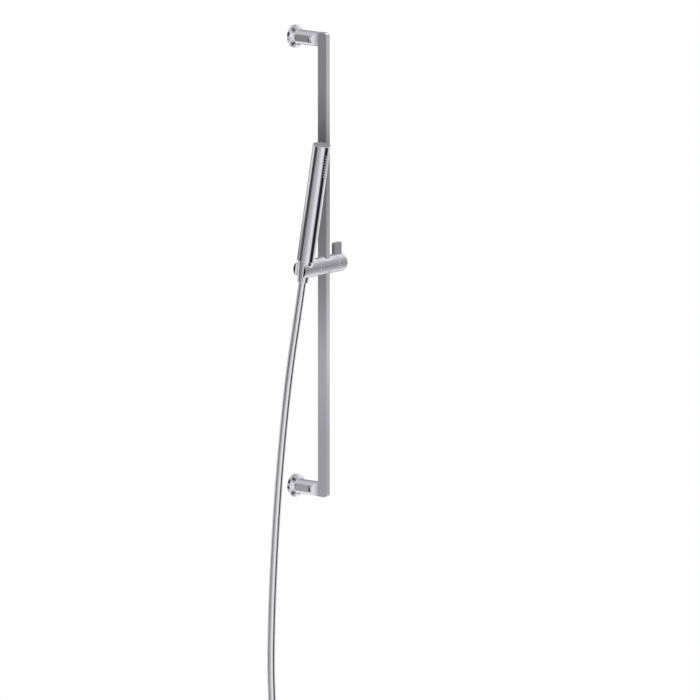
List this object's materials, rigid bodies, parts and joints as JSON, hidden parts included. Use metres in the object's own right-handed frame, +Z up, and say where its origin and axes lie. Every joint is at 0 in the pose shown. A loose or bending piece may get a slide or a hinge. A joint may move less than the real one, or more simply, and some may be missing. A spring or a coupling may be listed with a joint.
{
  "type": "shower slide rail",
  "caption": "Wall-mounted shower slide rail: a flat bar on two posts carries a clamping carriage with a tilting holder, a slim stick handset and its flexible hose.",
  "frame": {"origin": "on the wall plane, midway between the two wall fixings", "axes": "+Z up along the bar, +Y into the wall, +X along the wall towards the clamp knob"},
  "size_m": [0.2452, 0.1089, 1.2092],
  "materials": {
    "chrome": "polished chrome plate",
    "brass": "plain turned brass",
    "steel": "plain stainless steel",
    "liner_plastic": "plain light plastic",
    "nozzle_rubber": "soft grey silicone",
    "seal_rubber": "black rubber",
    "hose_plastic": "smooth silver plastic"
  },
  "bodies": {
    "rail": {"rail_bar": "chrome", "upper_post": "chrome", "upper_wall_flange": "chrome", "upper_wall_boss": "brass", "lower_post": "chrome", "lower_wall_flange": "chrome", "lower_wall_boss": "brass", "boss_grub_screws": "steel", "post_screws": "steel"},
    "carriage": {"carriage_body": "chrome", "slide_liner": "liner_plastic", "knob_ring": "steel", "tilt_disc": "liner_plastic", "spring_washer": "steel", "pivot_screw": "steel", "hose_tube": "hose_plastic", "hose_coil": "hose_plastic", "coil_tie": "liner_plastic", "hose_tail": "hose_plastic", "hose_end_ferrule": "chrome", "hose_end_washer": "seal_rubber"},
    "knob": {"clamp_knob": "chrome"},
    "plunger": {"brake_shoe": "liner_plastic", "clamp_plunger": "brass"},
    "holder": {"holder_fork": "chrome", "handset_tube": "chrome", "nozzle_strip": "nozzle_rubber", "handset_cap": "chrome", "handset_inlet": "brass", "handset_washer": "seal_rubber", "hose_top_ferrule": "brass", "hose_cone_nut": "chrome"},
    "end_nut": {"hose_end_nut": "chrome"}
  },
  "joints": [
    {"name": "carriage_slide", "type": "slide", "parent": "rail", "child": "carriage", "axis": [0, 0, 1], "range_m": [-0.325, 0.325]},
    {"name": "knob_turn", "type": "hinge", "parent": "carriage", "child": "knob", "pos_m": [0, -0.06, 0], "axis": [1, 0, 0], "range_deg": [0, 90]},
    {"name": "plunger_press", "type": "slide", "parent": "carriage", "child": "plunger", "axis": [1, 0, 0], "range_m": [0, 0.00032]},
    {"name": "holder_tilt", "type": "hinge", "parent": "carriage", "child": "holder", "pos_m": [-0.0469, -0.06, 0], "axis": [1, 0, 0], "range_deg": [-20, 50], "deforming": ["hose_tube"]},
    {"name": "end_nut_spin", "type": "hinge", "parent": "carriage", "child": "end_nut", "pos_m": [-0.072, -0.041, -0.816], "axis": [0, 0, 1], "continuous": true}
  ],
  "couplings": [
    {"joint": "plunger_press", "follows": "knob_turn", "m_per_rad": 0.000199}
  ]
}
